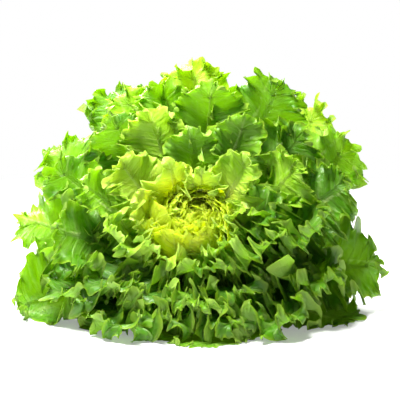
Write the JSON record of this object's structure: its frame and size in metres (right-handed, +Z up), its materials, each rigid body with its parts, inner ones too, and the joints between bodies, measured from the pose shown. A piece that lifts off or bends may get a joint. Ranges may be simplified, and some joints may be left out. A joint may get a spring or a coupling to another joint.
{
  "type": "escarole head",
  "caption": "Whole head of frilly escarole lying on its side, heart to the front, leaves spread round a short cut crown; food or kitchen prop.",
  "frame": {"origin": "on the table under the middle of the head's bounding box", "axes": "+Z up, the heart looks towards -Y and up, +X to the right of someone looking into the heart"},
  "size_m": [0.3198, 0.2466, 0.214],
  "materials": {
    "crown": "matte cut stem, browned at the cut",
    "outer_leaf": "satin, waxy leaf, translucent",
    "middle_leaf": "satin, waxy leaf, translucent",
    "heart_leaf": "satin, tender blanched leaf, translucent"
  },
  "bodies": {
    "root": {"crown": "crown", "outer_leaf_01": "outer_leaf", "outer_leaf_02": "outer_leaf", "outer_leaf_03": "outer_leaf", "outer_leaf_04": "outer_leaf", "outer_leaf_05": "outer_leaf", "outer_leaf_06": "outer_leaf", "outer_leaf_07": "outer_leaf", "outer_leaf_08": "outer_leaf", "outer_leaf_09": "outer_leaf", "outer_leaf_10": "outer_leaf", "outer_leaf_11": "outer_leaf", "outer_leaf_12": "outer_leaf", "outer_leaf_13": "outer_leaf", "outer_leaf_14": "outer_leaf", "outer_leaf_15": "outer_leaf", "outer_leaf_16": "outer_leaf", "outer_leaf_17": "outer_leaf", "outer_leaf_18": "outer_leaf", "outer_leaf_19": "outer_leaf", "outer_leaf_20": "outer_leaf", "middle_leaf_01": "middle_leaf", "middle_leaf_02": "middle_leaf", "middle_leaf_03": "middle_leaf", "middle_leaf_04": "middle_leaf", "middle_leaf_05": "middle_leaf", "middle_leaf_06": "middle_leaf", "middle_leaf_07": "middle_leaf", "middle_leaf_08": "middle_leaf", "middle_leaf_09": "middle_leaf", "middle_leaf_10": "middle_leaf", "middle_leaf_11": "middle_leaf", "middle_leaf_12": "middle_leaf", "middle_leaf_13": "middle_leaf", "middle_leaf_14": "middle_leaf", "middle_leaf_15": "middle_leaf", "middle_leaf_16": "middle_leaf", "middle_leaf_17": "middle_leaf", "middle_leaf_18": "middle_leaf", "middle_leaf_19": "middle_leaf", "middle_leaf_20": "middle_leaf", "heart_leaf_01": "heart_leaf", "heart_leaf_02": "heart_leaf", "heart_leaf_03": "heart_leaf", "heart_leaf_04": "heart_leaf", "heart_leaf_05": "heart_leaf", "heart_leaf_06": "heart_leaf", "heart_leaf_07": "heart_leaf", "heart_leaf_08": "heart_leaf", "heart_leaf_09": "heart_leaf", "heart_leaf_10": "heart_leaf", "heart_leaf_11": "heart_leaf", "heart_leaf_12": "heart_leaf", "heart_leaf_13": "heart_leaf", "heart_leaf_14": "heart_leaf", "heart_leaf_15": "heart_leaf"}
  },
  "joints": []
}
